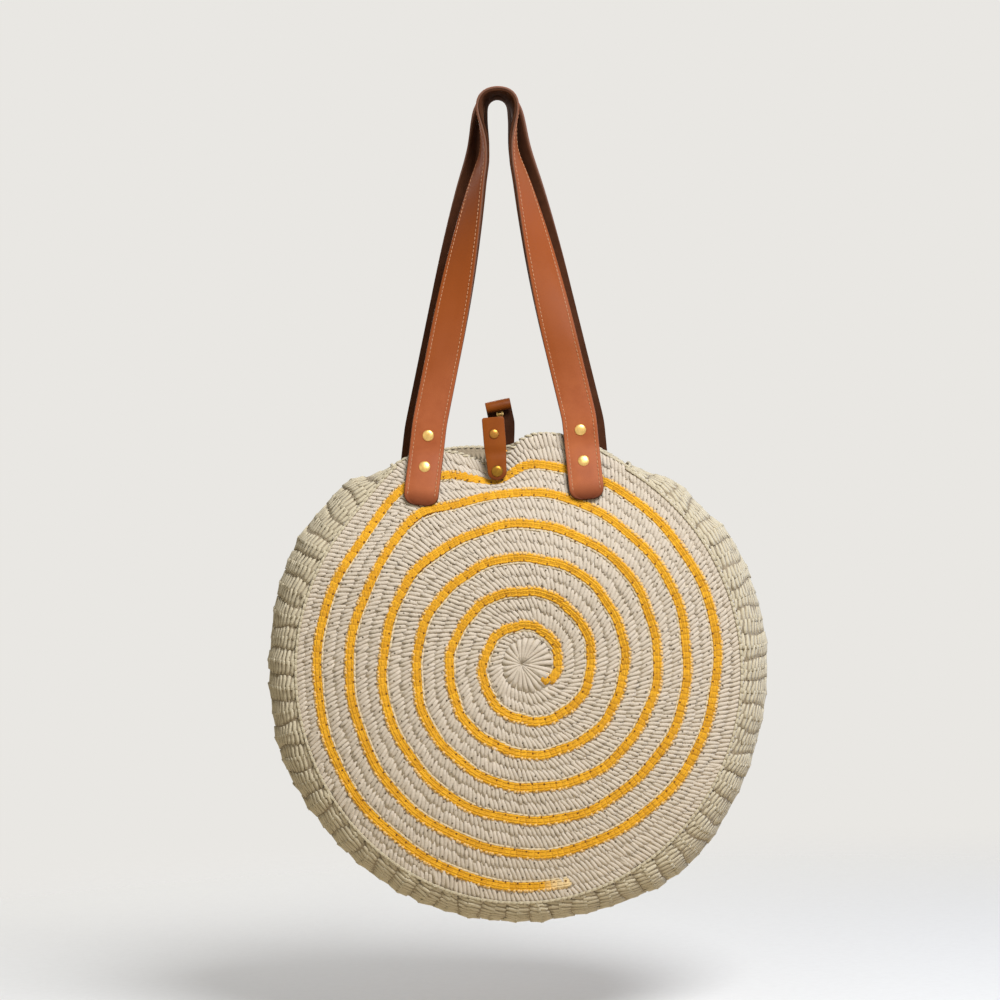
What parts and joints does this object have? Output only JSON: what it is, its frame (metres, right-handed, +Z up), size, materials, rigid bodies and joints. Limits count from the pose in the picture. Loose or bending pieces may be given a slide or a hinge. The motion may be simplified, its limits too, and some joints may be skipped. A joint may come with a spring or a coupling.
{
  "type": "crochet tote bag",
  "caption": "Round crochet tote bag with a spiral contrast row, a gusset band, long riveted leather handles and a snap tab closure at its open mouth.",
  "frame": {"origin": "the point inside the top of the handles that the bag hangs on", "axes": "+Z up, front of the bag towards -Y, +X to the right seen from the front"},
  "size_m": [0.4086, 0.1182, 0.6812],
  "materials": {
    "cream_yarn": "matte",
    "yellow_yarn": "matte",
    "tan_leather": "satin",
    "dark_suede": "matte",
    "brass": "polished"
  },
  "bodies": {
    "bag": {"front_panel": "cream_yarn", "rear_panel": "cream_yarn", "side_band": "cream_yarn", "front_seam": "cream_yarn", "rear_seam": "cream_yarn", "front_spiral_row": "yellow_yarn", "rear_spiral_row": "yellow_yarn", "front_handle_left_end": "tan_leather", "front_handle_right_end": "tan_leather", "rear_handle_left_end": "tan_leather", "rear_handle_right_end": "tan_leather", "front_handle_left_end_backing": "dark_suede", "front_handle_right_end_backing": "dark_suede", "rear_handle_left_end_backing": "dark_suede", "rear_handle_right_end_backing": "dark_suede", "front_tab_end": "tan_leather", "closure_strap_end": "tan_leather", "front_left_upper_rivet": "brass", "front_left_lower_rivet": "brass", "front_right_upper_rivet": "brass", "front_right_lower_rivet": "brass", "rear_left_upper_rivet": "brass", "rear_left_lower_rivet": "brass", "rear_right_upper_rivet": "brass", "rear_right_lower_rivet": "brass", "front_tab_rivet": "brass", "closure_strap_rivet": "brass", "front_left_upper_rivet_base": "brass", "front_left_lower_rivet_base": "brass", "front_right_upper_rivet_base": "brass", "front_right_lower_rivet_base": "brass", "rear_left_upper_rivet_base": "brass", "rear_left_lower_rivet_base": "brass", "rear_right_upper_rivet_base": "brass", "rear_right_lower_rivet_base": "brass", "front_tab_rivet_base": "brass", "closure_strap_rivet_base": "brass"},
    "front_handle": {"front_handle_strap": "tan_leather", "front_handle_strap_backing": "dark_suede"},
    "rear_handle": {"rear_handle_strap": "tan_leather", "rear_handle_strap_backing": "dark_suede"},
    "front_tab": {"front_tab_flap": "tan_leather", "front_tab_snap_cap": "brass", "front_tab_snap_socket": "brass"},
    "closure_strap": {"closure_strap_flap": "tan_leather", "closure_strap_snap_cap": "brass", "closure_strap_snap_stud": "brass"}
  },
  "joints": [
    {"name": "front_handle_swing", "type": "hinge", "parent": "bag", "child": "front_handle", "pos_m": [-0.007, -0.033, -0.26779], "axis": [1, 0, 0], "range_deg": [0, 150]},
    {"name": "rear_handle_swing", "type": "hinge", "parent": "bag", "child": "rear_handle", "pos_m": [-0.007, 0.03377, -0.27068], "axis": [1, 0, 0], "range_deg": [-150, 0]},
    {"name": "front_tab_flex", "type": "hinge", "parent": "bag", "child": "front_tab", "pos_m": [-0.013, -0.03484, -0.29388], "axis": [1, 0, 0], "range_deg": [-50, 90], "stiffness_Nm_per_rad": 0.02},
    {"name": "closure_strap_flex", "type": "hinge", "parent": "bag", "child": "closure_strap", "pos_m": [-0.006, 0.03212, -0.279], "axis": [1, 0, 0], "range_deg": [-120, 55], "stiffness_Nm_per_rad": 0.02}
  ]
}
